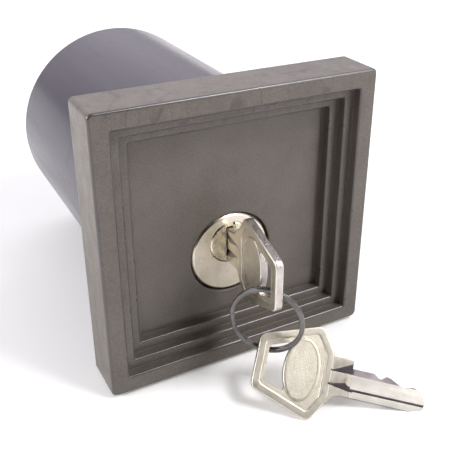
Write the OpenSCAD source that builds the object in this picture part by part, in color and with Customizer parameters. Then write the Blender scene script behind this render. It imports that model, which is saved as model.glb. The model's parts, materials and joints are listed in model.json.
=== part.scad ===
// Lockable wall bait station: a feeding tube set in a wall, closed by a
// square cover with a key lock that carries the bait on a rod.
// Frame: millimetres, origin on the tube's axis in the wall plane,
// +Y into the wall along the tube, +Z up, +X to the right.

/* [Cover] */
// Side of the square flange
flange_side = 90; // [86:1:110]
// How far the flange stands out from the wall
flange_depth = 15.8; // [14.5:0.1:20]
// Width of the front rim, measured at the top of the first step
rim_width = 5.7; // [5:0.1:7]
// Width of each of the two ledges inside the rim
ledge_width = 3.25; // [2.5:0.05:3.5]
// Drop from one ledge to the next
step_drop = 3.1; // [2.4:0.1:3.3]
// Wall thickness of the cover moulding
cover_wall = 2.6; // [2:0.1:3]
// Rounding of the flange's four long corners
flange_corner = 1.6; // [0.8:0.1:4]

/* [Tube] */
// Outside diameter of the feeding tube
tube_od = 76; // [76:0.5:80]
// Wall thickness of the tube
tube_wall = 2.5; // [1.5:0.1:3]
// Length of the tube behind the wall plane
tube_length = 95; // [92:1:250]

/* [Lock] */
// Diameter of the lock's round head
head_d = 27; // [26:0.5:28]
// Diameter of the lock's barrel
barrel_d = 24; // [23:0.5:25]
// Diameter of the plug's visible face
plug_face_d = 14; // [13.6:0.1:15]
// Height of the lock head's centre above the tube's axis
head_z = -11.4; // [-12:0.1:-10]
// Height of the plug's axis above the tube's axis
plug_z = -7.8; // [-8.2:0.1:-7.4]
// Angle that the key turns from unlocked to locked
turn_angle = 90; // [60:5:90]

/* [Key] */
// Overall length of a key
key_length = 54; // [52:0.5:56]
// Widest part of the key's bow
bow_width = 29; // [27:0.5:30]
// Thickness of the key's rim and boss
key_thickness = 2.6; // [2.2:0.1:3]
// Outside diameter of the split ring
ring_od = 23.3; // [22:0.1:25]

/* [Bait] */
// Side of one square wax block
block_side = 26; // [20:1:27]
// Length of one wax block along the rod
block_length = 16; // [10:1:16]
// Height of the bait rod above the tube's axis
rod_z = 14; // [14:0.5:15]

/* [Hidden] */
$fn = 72;
eps = 0.01;

// Cover: planes along Y, from the rim's front to the wall, and half widths
rim_y = -flange_depth;
panel_y = rim_y + 3 * step_drop;
panel_back_y = panel_y + cover_wall;
half = flange_side / 2;
rim_half = half - rim_width;
panel_half = rim_half - 2 * ledge_width;

// Tube and the spigot that plugs into it
tube_r = tube_od / 2;
bore_r = tube_r - tube_wall;
tube_front_y = 0;
gasket_thickness = 1.7;
gasket_r = tube_r - 0.4;
seat_y = tube_front_y - gasket_thickness;
seat_r = tube_r + 2.6;
spigot_gap = 0.3;
spigot_r = bore_r - spigot_gap;
spigot_wall = 2.6;
spigot_end_y = 12;
groove_y = 7;
groove_width = 2.4;
groove_depth = 1.5;
o_ring_r = 0.8;

// Keeper ring that the cam catches behind
keeper_r = bore_r - 4;
keeper_front_y = 15.5;
keeper_back_y = 20.6;

// Lock shell, in order from the front
head_sink = 0.2;
head_thickness = 2.2;
head_gap = 0.4;
head_front_y = panel_y + head_sink;
head_back_y = head_front_y + head_thickness;
lock_boss_r = head_d / 2 + 3;
lock_boss_y = head_back_y + cover_wall;
shell_end_y = 20;
flat_half = barrel_d / 2 - 1.5;
washer_thickness = 1;
nut_thickness = 5;
nut_flats = 29;

// Plug and its tail
plug_r = 6.45;
plug_gap = 0.05;
plug_face_thickness = 1.1;
tail_side = 6.6;
tail_end_y = 23.8;
tail_gap = 0.05;
keyway_half = 1.2;

// Pin stacks below the plug
pin_count = 5;
pin_pitch = 3.2;
pin_first_y = 2.5;
pin_r = 1.35;
chamber_r = 1.4;
driver_length = 2.6;
cap_thickness = 1.2;
chamber_end_z = -22;
spring_wire_r = 0.2;
spring_coils = 4;

// Cam, its stop and its fastening
stop_y = 20.1;
stop_thickness = 0.9;
cam_y = 21.1;
cam_thickness = 2.6;
cam_reach = 26.2;
cam_tip_half = 5;
cam_root_r = 7.5;
cam_washer_thickness = 0.8;
screw_head_thickness = 2.4;
cam_screw_r = 2;
stop_tab_r = 9;
stop_tab_half_angle = 16;
stop_slack_angle = 2;

// Backing plate and the bait rod
plate_r = spigot_r - spigot_wall - 0.4;
plate_y = 7;
plate_thickness = 2;
plate_screw_pcd_r = 27.5;
plate_screw_angle = 40;
plate_boss_r = 3.2;
plate_screw_r = 1.45;
plate_screw_head_r = 2.8;
rod_r = 2;
rod_start_y = 3.2;
rod_end_y = 90;
rod_nut_thickness = 3.2;
rod_nut_flats = 7;
rod_washer_r = 4.5;
rod_washer_thickness = 0.8;
blocks_y = 30;
block_hole_r = 2.5;
block_groove = 1.6;

// Key: its outline is drawn with X along the key from the end bar to the
// tip, Y across it towards the cuts, and Z through its thickness
bow_half = bow_width / 2;
end_half = 8;
end_radius = 1.6;
bow_x = 18.8;
bow_end_x = 23.8;
bow_end_half = 6.6;
shoulder_x = 30;
rim_inset = 2.3;
plate_half = 0.95;
blade_half = 1;
blade_top = 3.7;
blade_bottom = -5.2;
boss_x = 14.4;
boss_semi_x = 5.6;
boss_semi_y = 9.6;
window_x = 3.4;
window_end_x = 10;
window_half = 5.2;
window_end_half = 7.6;
blade_groove_depth = 0.5;
// Heights of the cut edge, as [distance from the end bar, height]
cuts = [
    [37, 3.7], [38.8, 2.5], [39.8, 2.5], [41.2, 3.6], [42.6, 3.3], [44.8, 2.2],
    [46.6, 1.4], [47.4, 1.4], [49.4, 2.1], [50.6, 2.1], [52, 1.1], [key_length - 0.6, -0.6]
];
// Height of each pin's tip above the key's own axis, clear of every cut
// that passes it as the key is drawn out
pin_tips = [3.95, 3.95, 3.3, 2.4, 2.4];
key_y = head_front_y - 0.05 - shoulder_x;

// Split ring and the spare key that hangs on it
ring_wire = 1.4;
ring_coil = 0.8;
ring_coil_gap = 0.04;
ring_r = (ring_od - ring_wire) / 2;
ring_centre = [0, -29.7, -23];
ring_turn = [1, 3.5, -45];
spare_origin = [-4.9, -32, -34.4];
spare_turn = [46.5, 14, -31];

// ---- helpers ----

function unit(v) = v / norm(v);

// The arc of radius r that rounds the corner at p1, as steps + 1 points
function corner(p0, p1, p2, r, steps) =
    let (
        u = unit(p0 - p1),
        v = unit(p2 - p1),
        half_angle = acos(u * v) / 2,
        centre = p1 + unit(u + v) * r / sin(half_angle),
        start = p1 + u * r / tan(half_angle) - centre,
        end = p1 + v * r / tan(half_angle) - centre,
        sweep = 180 - 2 * half_angle
    )
    [for (i = [0:steps])
        centre + (start * sin((1 - i / steps) * sweep) + end * sin(i / steps * sweep)) / sin(sweep)];

// A convex outline with every corner rounded to radius r
function rounded(points, r, steps = 5) =
    let (n = len(points))
    [for (i = [0:n - 1]) each corner(points[(i + n - 1) % n], points[i], points[(i + 1) % n], r, steps)];

// A convex outline moved inwards by d
function inset(points, d) =
    let (n = len(points))
    [for (i = [0:n - 1])
        let (
            u = unit(points[(i + n - 1) % n] - points[i]),
            v = unit(points[(i + 1) % n] - points[i])
        )
        points[i] + unit(u + v) * d / sin(acos(u * v) / 2)];

// Points on an ellipse
function oval(centre_x, semi_x, semi_y, count = 48) =
    [for (i = [0:count - 1]) [centre_x + semi_x * cos(360 * i / count), semi_y * sin(360 * i / count)]];

// Solid cylinder along Y between two planes, centred on [x, z]
module rod_y(r, y0, y1, x = 0, z = 0) {
    translate([x, y0, z])
        rotate([-90, 0, 0])
            cylinder(r = r, h = y1 - y0);
}

// Ring along Y between two planes, centred on [x, z]
module ring_y(r_out, r_in, y0, y1, x = 0, z = 0) {
    difference() {
        rod_y(r_out, y0, y1, x, z);
        rod_y(r_in, y0 - 1, y1 + 1, x, z);
    }
}

// Solid of revolution about an axis along Y, drawn as [radius, y] points
module turned_y(points, x = 0, z = 0) {
    translate([x, 0, z])
        rotate([-90, 0, 0])
            rotate_extrude()
                polygon(points);
}

// Square slab along Y with rounded long corners
module slab_y(half_side, r, y0, y1) {
    translate([0, y1, 0])
        rotate([90, 0, 0])
            linear_extrude(y1 - y0)
                union() {
                    square([2 * half_side, 2 * (half_side - r)], center = true);
                    square([2 * (half_side - r), 2 * half_side], center = true);
                    for (sx = [-1, 1], sy = [-1, 1])
                        translate([sx * (half_side - r), sy * (half_side - r)])
                            circle(r = r);
                }
}

// Hexagonal prism along Y, measured across its flats
module hex_y(flats, y0, y1, x = 0, z = 0) {
    translate([x, y0, z])
        rotate([-90, 0, 0])
            cylinder(r = flats / sqrt(3), h = y1 - y0, $fn = 6);
}

// ---- tube ----

module tube() {
    lip = 0.8;
    color([0.58, 0.57, 0.6])
        turned_y([
            [bore_r + lip, tube_front_y], [tube_r, tube_front_y], [tube_r, tube_length - 0.6],
            [tube_r - 0.6, tube_length], [bore_r + lip, tube_length],
            [bore_r, tube_length - lip], [bore_r, tube_front_y + lip]
        ]);
}

module keeper_ring() {
    lead_in = 1.5;
    color([0.5, 0.49, 0.5])
        turned_y([
            [keeper_r + lead_in, keeper_front_y], [bore_r - 0.02, keeper_front_y],
            [bore_r - 0.02, keeper_back_y], [keeper_r, keeper_back_y],
            [keeper_r, keeper_front_y + lead_in]
        ]);
}

// ---- cover ----

// Stepped hollow seen from the front
module front_recess() {
    for (i = [0:2])
        slab_y(rim_half - i * ledge_width, 0.6, rim_y - 1 + i * step_drop, rim_y + (i + 1) * step_drop);
}

// Hollow behind the steps, one wall thickness behind each of them
module back_recess() {
    wall_half = half - cover_wall;
    slab_y(wall_half, 0.8, rim_y + step_drop + cover_wall, 1);
}

module cover_skin() {
    difference() {
        slab_y(half, flange_corner, rim_y, 0);
        difference() {
            back_recess();
            // the ledges and the panel keep their wall behind them
            slab_y(rim_half - ledge_width + cover_wall, 0.8, rim_y, rim_y + 2 * step_drop + cover_wall);
            slab_y(panel_half + cover_wall, 0.8, rim_y, panel_back_y);
        }
    }
}

module front_cover() {
    color([0.45, 0.43, 0.41])
        difference() {
            union() {
                cover_skin();
                // the seat that presses the flat seal on the tube's end
                ring_y(seat_r, spigot_r - spigot_wall, panel_back_y - 1, seat_y);
                ring_y(spigot_r, spigot_r - spigot_wall, panel_back_y - 1, spigot_end_y);
                rod_y(lock_boss_r, panel_back_y - 1, lock_boss_y, 0, head_z);
                plate_positions()
                    rod_y(plate_boss_r, panel_back_y - 1, plate_y);
            }
            front_recess();
            ring_y(spigot_r + 1, spigot_r - groove_depth, groove_y, groove_y + groove_width);
            rod_y(head_d / 2 + head_gap, rim_y, head_back_y, 0, head_z);
            intersection() {
                rod_y(barrel_d / 2 + 0.1, rim_y, lock_boss_y + 1, 0, head_z);
                translate([-flat_half - 0.1, rim_y, head_z - head_d])
                    cube([2 * flat_half + 0.2, flange_depth + 5, 2 * head_d]);
            }
            plate_positions()
                rod_y(plate_screw_r + 0.02, panel_back_y + 1.5, plate_y + 1);
        }
}

// Places its children at the four screws of the backing plate
module plate_positions() {
    for (a = [plate_screw_angle, 180 - plate_screw_angle, 180 + plate_screw_angle, -plate_screw_angle])
        translate([plate_screw_pcd_r * cos(a), 0, plate_screw_pcd_r * sin(a)])
            children();
}

module cover_gasket() {
    color([0.12, 0.12, 0.12])
        ring_y(gasket_r, spigot_r + eps, seat_y, tube_front_y);
}

module spigot_o_ring() {
    color([0.1, 0.1, 0.1])
        translate([0, groove_y + groove_width / 2, 0])
            rotate([-90, 0, 0])
                rotate_extrude()
                    translate([spigot_r - groove_depth + o_ring_r, 0])
                        circle(r = o_ring_r);
}

module backing_plate() {
    color([0.72, 0.72, 0.72])
        difference() {
            rod_y(plate_r, plate_y, plate_y + plate_thickness);
            rod_y(barrel_d / 2 + 0.6, plate_y - 1, plate_y + plate_thickness + 1, 0, head_z);
            rod_y(rod_r + 0.1, plate_y - 1, plate_y + plate_thickness + 1, 0, rod_z);
            plate_positions()
                rod_y(plate_screw_r + 0.2, plate_y - 1, plate_y + plate_thickness + 1);
        }
}

module plate_screws() {
    head_y = plate_y + plate_thickness;
    color([0.7, 0.7, 0.72])
        plate_positions()
            difference() {
                union() {
                    rod_y(plate_screw_r, panel_back_y + 2, head_y);
                    turned_y([
                        [0, head_y], [plate_screw_head_r, head_y], [plate_screw_head_r, head_y + 1],
                        [plate_screw_head_r - 0.8, head_y + 1.8], [0, head_y + 1.8]
                    ]);
                }
                for (turn = [0, 90])
                    rotate([0, turn, 0])
                        translate([-1.5, head_y + 0.8, -0.3])
                            cube([3, 2, 0.6]);
            }
}

// ---- lock shell ----

// Places its children at each pin's own position along Y
module each_pin() {
    for (i = [0:pin_count - 1])
        translate([0, pin_first_y + i * pin_pitch, 0])
            children();
}

module pin_z(r, z0, z1) {
    translate([0, 0, z0])
        cylinder(r = r, h = z1 - z0);
}

module lock_shell() {
    head_r = head_d / 2;
    chamber_bottom_z = head_z - barrel_d / 2 - 1;
    color([0.78, 0.76, 0.7])
        difference() {
            union() {
                turned_y([
                    [0, head_front_y], [head_r - 1.2, head_front_y], [head_r - 0.3, head_front_y + 0.4],
                    [head_r, head_front_y + 1.1], [head_r, head_back_y], [0, head_back_y]
                ], 0, head_z);
                intersection() {
                    rod_y(barrel_d / 2, head_back_y - 1, shell_end_y, 0, head_z);
                    translate([-flat_half, head_back_y - 2, head_z - barrel_d])
                        cube([2 * flat_half, shell_end_y + 10, 2 * barrel_d]);
                }
            }
            rod_y(plug_r + plug_gap, rim_y, shell_end_y + 1, 0, plug_z);
            rod_y(plug_face_d / 2 + plug_gap, rim_y, head_front_y + plug_face_thickness, 0, plug_z);
            each_pin()
                pin_z(chamber_r, chamber_bottom_z, plug_z);
            stop_sector();
        }
}

// Shallow sector in the shell's rear face in which the stop's tab swings
module stop_sector() {
    swing = turn_angle + 2 * (stop_tab_half_angle + stop_slack_angle);
    intersection() {
        rod_y(stop_tab_r + 0.4, shell_end_y - 1.4, shell_end_y + 1, 0, plug_z);
        translate([0, shell_end_y + 1, plug_z])
            rotate([90, 0, 0])
                linear_extrude(3)
                    polygon(concat([[0, 0]], [
                        for (i = [0:6])
                            let (a = stop_tab_half_angle + stop_slack_angle - swing * i / 6)
                            2 * stop_tab_r * [cos(a), sin(a)]
                    ]));
    }
}

module lock_washer() {
    color([0.7, 0.7, 0.7])
        ring_y(barrel_d / 2 + 4, barrel_d / 2 + 0.1, lock_boss_y, lock_boss_y + washer_thickness, 0, head_z);
}

module lock_nut() {
    nut_y = lock_boss_y + washer_thickness;
    color([0.75, 0.74, 0.7])
        difference() {
            hex_y(nut_flats, nut_y, nut_y + nut_thickness, 0, head_z);
            rod_y(barrel_d / 2 + 0.02, nut_y - 1, nut_y + nut_thickness + 1, 0, head_z);
        }
}

module driver_pins() {
    shear_z = plug_z - plug_r - plug_gap;
    color([0.8, 0.68, 0.35])
        each_pin()
            pin_z(pin_r, shear_z - driver_length, shear_z - 0.1);
}

// Wire of one spring as rings of points round a helix between two heights
module spring_z(r, z0, z1) {
    sides = 5;
    rings = spring_coils * 8;
    points = [
        for (i = [0:rings])
            let (a = 45 * i, z = z0 + spring_wire_r + (z1 - z0 - 2 * spring_wire_r) * i / rings)
            for (k = [0:sides - 1])
                let (b = 360 * k / sides, rr = r + spring_wire_r * cos(b))
                [rr * cos(a), rr * sin(a), z + spring_wire_r * sin(b)]
    ];
    faces = concat(
        [[for (k = [0:sides - 1]) k]],
        [for (i = [0:rings - 1], k = [0:sides - 1])
            let (p = i * sides + k, q = i * sides + (k + 1) % sides)
            [p, p + sides, q]],
        [for (i = [0:rings - 1], k = [0:sides - 1])
            let (p = i * sides + k, q = i * sides + (k + 1) % sides)
            [q, p + sides, q + sides]],
        [[for (k = [sides - 1:-1:0]) rings * sides + k]]
    );
    polyhedron(points, faces);
}

module pin_springs() {
    color([0.6, 0.6, 0.62])
        each_pin()
            spring_z(pin_r - spring_wire_r - 0.1, chamber_end_z, plug_z - plug_r - plug_gap - driver_length);
}

module chamber_caps() {
    color([0.8, 0.68, 0.35])
        each_pin()
            pin_z(chamber_r - 0.02, chamber_end_z - cap_thickness, chamber_end_z);
}

// ---- plug, pins and cam ----

module lock_plug() {
    keyway_top = 5.5;
    keyway_bottom = 4.3;
    keyway_end_y = key_y + key_length + 0.6;
    face_y = head_front_y;
    color([0.8, 0.78, 0.7])
        difference() {
            union() {
                turned_y([
                    [0, face_y], [plug_face_d / 2 - 0.5, face_y], [plug_face_d / 2, face_y + 0.4],
                    [plug_face_d / 2, face_y + plug_face_thickness], [0, face_y + plug_face_thickness]
                ], 0, plug_z);
                rod_y(plug_r, face_y + 0.5, shell_end_y, 0, plug_z);
                translate([-tail_side / 2, shell_end_y - 1, plug_z - tail_side / 2])
                    cube([tail_side, tail_end_y - shell_end_y + 1, tail_side]);
            }
            translate([-keyway_half, rim_y, plug_z - keyway_bottom])
                cube([2 * keyway_half, keyway_end_y - rim_y, keyway_bottom + keyway_top]);
            each_pin()
                pin_z(chamber_r, plug_z - plug_r - 1, plug_z - 2);
            rod_y(cam_screw_r + 0.02, shell_end_y - 1, tail_end_y + 1, 0, plug_z);
        }
}

module key_pins() {
    // the flat ends stay inside the plug's round as it turns
    shear_z = plug_z - sqrt(plug_r * plug_r - pin_r * pin_r);
    color([0.8, 0.68, 0.35])
        for (i = [0:pin_count - 1])
            translate([0, pin_first_y + i * pin_pitch, 0])
                union() {
                    pin_z(pin_r, shear_z, plug_z - pin_tips[i] - 0.5);
                    translate([0, 0, plug_z - pin_tips[i] - 0.5])
                        cylinder(r1 = pin_r, r2 = 0.7, h = 0.5);
                }
}

module stop_washer() {
    tab_y = stop_y - 1.2;
    color([0.7, 0.7, 0.7])
        difference() {
            union() {
                rod_y(7.5, stop_y, stop_y + stop_thickness, 0, plug_z);
                intersection() {
                    ring_y(stop_tab_r, 7, tab_y, stop_y + stop_thickness, 0, plug_z);
                    translate([0, stop_y + stop_thickness, plug_z])
                        rotate([90, 0, 0])
                            linear_extrude(3)
                                polygon([
                                    [0, 0],
                                    2 * stop_tab_r * [cos(stop_tab_half_angle), -sin(stop_tab_half_angle)],
                                    2 * stop_tab_r * [cos(stop_tab_half_angle), sin(stop_tab_half_angle)]
                                ]);
                }
            }
            tail_hole(stop_y - 2, stop_y + stop_thickness + 1);
        }
}

// Square hole that fits over the plug's tail
module tail_hole(y0, y1) {
    side = tail_side + 2 * tail_gap;
    translate([-side / 2, y0, plug_z - side / 2])
        cube([side, y1 - y0, side]);
}

module cam() {
    color([0.75, 0.75, 0.76])
        difference() {
            union() {
                rod_y(cam_root_r, cam_y, cam_y + cam_thickness, 0, plug_z);
                translate([0, cam_y + cam_thickness, plug_z])
                    rotate([90, 0, 0])
                        linear_extrude(cam_thickness)
                            polygon([
                                [0, -cam_root_r], [cam_root_r, -cam_tip_half - 1.5],
                                [cam_reach - 1.5, -cam_tip_half], [cam_reach, -cam_tip_half + 1.5],
                                [cam_reach, cam_tip_half - 1.5], [cam_reach - 1.5, cam_tip_half],
                                [cam_root_r, cam_tip_half + 1.5], [0, cam_root_r]
                            ]);
            }
            tail_hole(cam_y - 1, cam_y + cam_thickness + 1);
        }
}

module cam_washer() {
    washer_y = max(cam_y + cam_thickness, tail_end_y);
    color([0.7, 0.7, 0.7])
        ring_y(6, cam_screw_r + 0.15, washer_y, washer_y + cam_washer_thickness, 0, plug_z);
}

module cam_screw() {
    head_y = max(cam_y + cam_thickness, tail_end_y) + cam_washer_thickness;
    color([0.72, 0.72, 0.74])
        difference() {
            union() {
                rod_y(cam_screw_r, shell_end_y - 0.8, head_y + 0.5, 0, plug_z);
                turned_y([
                    [0, head_y], [3.8, head_y], [3.8, head_y + 1.4],
                    [2.8, head_y + screw_head_thickness], [0, head_y + screw_head_thickness]
                ], 0, plug_z);
            }
            for (turn = [0, 90])
                translate([0, head_y, plug_z])
                    rotate([0, turn, 0])
                        translate([-2, 1, -0.4])
                            cube([4, 3, 0.8]);
        }
}

// ---- bait ----

module bait_rod() {
    color([0.74, 0.74, 0.76])
        turned_y([
            [0, rod_start_y], [rod_r - 0.4, rod_start_y], [rod_r, rod_start_y + 0.4],
            [rod_r, rod_end_y - 0.6], [rod_r - 0.6, rod_end_y], [0, rod_end_y]
        ], 0, rod_z);
}

// Faces of the plate and of the first block that the rod's nuts bear on
plate_back_y = plate_y + plate_thickness;
rod_washer_ys = [
    plate_y - rod_washer_thickness, plate_back_y, blocks_y - rod_washer_thickness,
    blocks_y + 3 * block_length
];
rod_nut_ys = [
    plate_y - rod_washer_thickness - rod_nut_thickness + 0.7,
    plate_back_y + rod_washer_thickness,
    blocks_y - rod_washer_thickness - rod_nut_thickness
];

module rod_nuts() {
    color([0.74, 0.73, 0.7])
        for (y = rod_nut_ys) {
            front = max(y, rod_start_y + 0.2);
            thickness = y == rod_nut_ys[0] ? plate_y - rod_washer_thickness - front : rod_nut_thickness;
            difference() {
                hex_y(rod_nut_flats, front, front + thickness, 0, rod_z);
                rod_y(rod_r + 0.02, front - 1, front + thickness + 1, 0, rod_z);
            }
        }
}

module rod_washers() {
    color([0.7, 0.7, 0.7])
        for (y = rod_washer_ys)
            ring_y(rod_washer_r, rod_r + 0.15, y, y + rod_washer_thickness, 0, rod_z);
}

// One wax block; its four sides carry a groove along the rod
module bait_block(i) {
    y0 = blocks_y + (i - 1) * block_length;
    color([0.25, 0.5, 0.35])
        difference() {
            translate([-block_side / 2, y0, rod_z - block_side / 2])
                cube([block_side, block_length, block_side]);
            rod_y(block_hole_r, y0 - 1, y0 + block_length + 1, 0, rod_z);
            for (turn = [0:90:270], offset = [-block_side / 4, block_side / 4])
                translate([0, y0 - 1, rod_z])
                    rotate([0, turn, 0])
                        translate([offset, 0, block_side / 2])
                            rotate([0, 45, 0])
                                cube([block_groove, 2 * block_length + 4, block_groove], center = true);
        }
}

module wing_nut() {
    nut_y = blocks_y + 3 * block_length + rod_washer_thickness;
    hub_length = 5;
    wing_reach = 9;
    color([0.76, 0.75, 0.72])
        difference() {
            union() {
                turned_y([
                    [0, nut_y], [4.4, nut_y], [3.6, nut_y + hub_length], [0, nut_y + hub_length]
                ], 0, rod_z);
                for (side = [-1, 1])
                    translate([0, nut_y + 2, rod_z])
                        hull() {
                            translate([side * 3, 0, -1])
                                cube([1, 3, 2], center = false);
                            translate([side * (wing_reach - 2), 4, -0.8])
                                cylinder(r = 2.6, h = 1.6, $fn = 32);
                        }
            }
            rod_y(rod_r + 0.02, nut_y - 1, nut_y + hub_length + 8, 0, rod_z);
        }
}

// ---- keys and ring ----

// Outline of the bow, without roundings
function bow_outline() = [
    [0, -end_half], [bow_x, -bow_half], [bow_end_x, -bow_end_half],
    [bow_end_x, bow_end_half], [bow_x, bow_half], [0, end_half]
];

module key_slab(half_thickness) {
    translate([0, 0, -half_thickness])
        linear_extrude(2 * half_thickness)
            children();
}

module bow_window() {
    difference() {
        polygon(rounded([
            [window_x, -window_half], [window_end_x, -window_end_half],
            [window_end_x, window_end_half], [window_x, window_half]
        ], 0.7, 3));
        polygon(oval(boss_x, boss_semi_x, boss_semi_y));
    }
}

module key_bow() {
    difference() {
        union() {
            key_slab(plate_half)
                polygon(rounded(bow_outline(), end_radius));
            key_slab(key_thickness / 2)
                difference() {
                    polygon(rounded(bow_outline(), end_radius));
                    polygon(rounded(inset(bow_outline(), rim_inset), end_radius / 2));
                }
            key_slab(key_thickness / 2)
                polygon(oval(boss_x, boss_semi_x, boss_semi_y));
        }
        key_slab(key_thickness)
            bow_window();
    }
}

// Shank from the bow to the shoulder, and the blade with its cut edge
module key_blade() {
    shank_top = 6.4;
    key_slab(key_thickness / 2 - 0.1)
        polygon([
            [bow_end_x - 1, -bow_end_half], [bow_end_x + 1, -bow_end_half], [bow_end_x + 3, -5.5],
            [shoulder_x, blade_bottom], [shoulder_x, blade_bottom + 0.2], [shoulder_x, shank_top],
            [bow_end_x - 1, bow_end_half]
        ]);
    key_slab(blade_half)
        polygon(concat(
            [[shoulder_x - 1, blade_bottom], [key_length - 2.4, blade_bottom], [key_length - 0.4, -3.4],
             [key_length, -2.2]],
            [for (i = [len(cuts) - 1:-1:0]) cuts[i]],
            [[shoulder_x - 1, blade_top]]
        ));
}

// Milled grooves along the blade, one on each face
module blade_grooves() {
    start_x = bow_end_x + 1;
    translate([start_x, -3.3, blade_half - blade_groove_depth])
        cube([key_length, 0.8, 2]);
    translate([start_x, -0.9, -blade_half - 2 + blade_groove_depth])
        cube([key_length, 1.2, 2]);
}

module key_shape() {
    difference() {
        union() {
            key_bow();
            key_blade();
        }
        blade_grooves();
    }
}

// The key in the lock: along +Y, with its cut edge down
module key() {
    color([0.82, 0.78, 0.64])
        translate([0, key_y, plug_z])
            rotate([-90, 0, 90])
                key_shape();
}

module spare_key() {
    color([0.86, 0.83, 0.74])
        translate(spare_origin)
            rotate(spare_turn)
                key_shape();
}

module split_ring() {
    color([0.5, 0.5, 0.5])
        translate(ring_centre)
            rotate(ring_turn)
                rotate([90, 0, 0])
                    for (side = [-1, 1])
                        rotate_extrude()
                            translate([ring_r, side * (ring_coil + ring_coil_gap) / 2])
                                square([ring_wire, ring_coil], center = true);
}

tube();
keeper_ring();
front_cover();
cover_gasket();
spigot_o_ring();
backing_plate();
plate_screws();
lock_shell();
lock_washer();
lock_nut();
driver_pins();
pin_springs();
chamber_caps();
bait_rod();
rod_nuts();
rod_washers();
bait_block(1);  // bait_block_1
bait_block(2);  // bait_block_2
bait_block(3);  // bait_block_3
wing_nut();
lock_plug();
key_pins();
stop_washer();
cam();
cam_washer();
cam_screw();
key();
split_ring();
spare_key();
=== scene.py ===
import json
import math

import bmesh
import bpy
from mathutils import Euler, Matrix, Vector, noise

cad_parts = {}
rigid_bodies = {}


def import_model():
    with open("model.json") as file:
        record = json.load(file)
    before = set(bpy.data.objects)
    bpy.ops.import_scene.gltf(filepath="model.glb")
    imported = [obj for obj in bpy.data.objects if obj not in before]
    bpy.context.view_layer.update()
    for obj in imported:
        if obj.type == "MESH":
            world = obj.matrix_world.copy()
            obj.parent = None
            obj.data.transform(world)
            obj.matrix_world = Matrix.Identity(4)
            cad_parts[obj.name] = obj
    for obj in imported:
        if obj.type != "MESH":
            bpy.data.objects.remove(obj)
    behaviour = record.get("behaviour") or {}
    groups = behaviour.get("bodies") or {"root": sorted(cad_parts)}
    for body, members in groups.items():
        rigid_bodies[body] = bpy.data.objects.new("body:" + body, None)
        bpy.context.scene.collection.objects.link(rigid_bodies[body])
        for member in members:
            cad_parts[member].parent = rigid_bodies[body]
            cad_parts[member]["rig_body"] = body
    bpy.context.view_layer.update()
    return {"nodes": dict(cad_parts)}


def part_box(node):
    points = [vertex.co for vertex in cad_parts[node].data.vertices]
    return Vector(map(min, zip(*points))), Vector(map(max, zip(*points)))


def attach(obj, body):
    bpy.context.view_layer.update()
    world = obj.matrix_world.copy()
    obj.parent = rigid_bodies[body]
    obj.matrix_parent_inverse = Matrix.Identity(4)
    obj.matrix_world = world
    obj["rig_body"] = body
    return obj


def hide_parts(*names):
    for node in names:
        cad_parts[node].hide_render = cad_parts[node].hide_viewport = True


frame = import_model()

MM = 0.001
ROUND = 128  # segments of a large turned piece
SMALL_ROUND = 48  # segments of a small turned piece
NEARLY_STRAIGHT = math.radians(89)  # half of a corner's angle that needs no rounding


# -------------------- materials


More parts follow.
